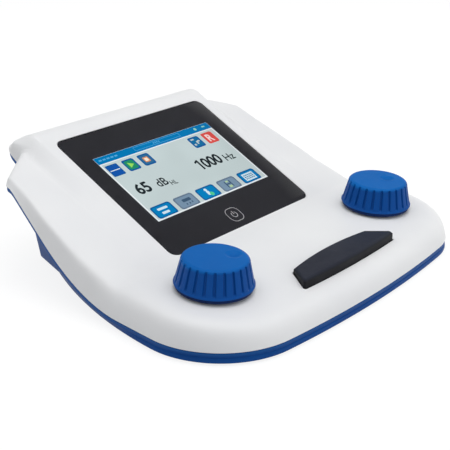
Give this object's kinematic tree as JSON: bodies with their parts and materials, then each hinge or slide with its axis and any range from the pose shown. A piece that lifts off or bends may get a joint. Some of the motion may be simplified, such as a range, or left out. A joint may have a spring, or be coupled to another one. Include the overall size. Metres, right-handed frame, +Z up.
{
  "type": "desktop audiometer",
  "caption": "Compact desktop audiometer: sloping glass-fronted display head, ribbed dials, wide presenter key and rear transducer sockets.",
  "frame": {"origin": "on the table under the middle of the case's bounding box", "axes": "+X to the right of the person who faces the display, -Y to that person, +Z up"},
  "size_m": [0.2232, 0.1963, 0.0699],
  "materials": {
    "white_case": "satin, lightly glossy",
    "blue_case": "satin",
    "dial_blue": "fine matt grain, soft sheen",
    "slate_rubber": "matt, slightly rough",
    "cover_glass": "polished",
    "black_print": "printed",
    "clear_film": "clear",
    "adhesive": "matt",
    "display": "lit display",
    "steel": "satin",
    "bright_screw": "bright zinc",
    "board": "solder mask",
    "ribbon": "flat cable",
    "black_plastic": "moulded",
    "charcoal_panel": "fine grain",
    "battery_wrap": "shrink wrap",
    "gold_contact": "plated",
    "foot_rubber": "matt"
  },
  "bodies": {
    "root": {"top_shell": "white_case", "bottom_shell": "blue_case", "cover_glass": "cover_glass", "bezel_mask": "black_print", "touch_sensor": "clear_film", "glass_tape": "adhesive", "lcd_module": "display", "lcd_frame": "steel", "lcd_frame_screws": "bright_screw", "left_encoder_body": "steel", "right_encoder_body": "steel", "encoder_washers": "bright_screw", "encoder_nuts": "bright_screw", "control_board": "board", "control_board_screws": "bright_screw", "key_spring_left": "bright_screw", "key_spring_right": "bright_screw", "key_switch": "black_plastic", "main_board": "board", "main_board_screws": "bright_screw", "display_ribbon": "ribbon", "control_ribbon": "ribbon", "io_ribbon": "ribbon", "io_board": "board", "rear_panel": "charcoal_panel", "left_phone_jack": "black_plastic", "right_phone_jack": "black_plastic", "bone_jack": "black_plastic", "response_jack": "black_plastic", "usb_socket": "steel", "power_inlet": "black_plastic", "battery_pack": "battery_wrap", "battery_contacts": "gold_contact", "battery_door": "blue_case", "door_screw": "bright_screw", "monitor_speaker": "black_plastic", "case_screws": "bright_screw", "foot_front_left": "foot_rubber", "foot_front_right": "foot_rubber", "foot_rear_left": "foot_rubber", "foot_rear_right": "foot_rubber"},
    "left_dial": {"left_knob": "dial_blue", "left_encoder_shaft": "bright_screw"},
    "right_dial": {"right_knob": "dial_blue", "right_encoder_shaft": "bright_screw"},
    "presenter": {"presenter_key": "slate_rubber"}
  },
  "joints": [
    {"name": "left_knob_spin", "type": "hinge", "parent": "root", "child": "left_dial", "pos_m": [-0.073, -0.05091, 0.02864], "axis": [0, -0.064, 0.9979], "continuous": true},
    {"name": "right_knob_spin", "type": "hinge", "parent": "root", "child": "right_dial", "pos_m": [0.073, -0.05091, 0.02864], "axis": [0, -0.064, 0.9979], "continuous": true},
    {"name": "key_press", "type": "slide", "parent": "root", "child": "presenter", "axis": [0, 0.064, -0.9979], "range_m": [0, 0.0012], "stiffness_N_per_m": 600, "springref_m": -0.0015, "deforming": ["key_spring_left", "key_spring_right"]}
  ]
}
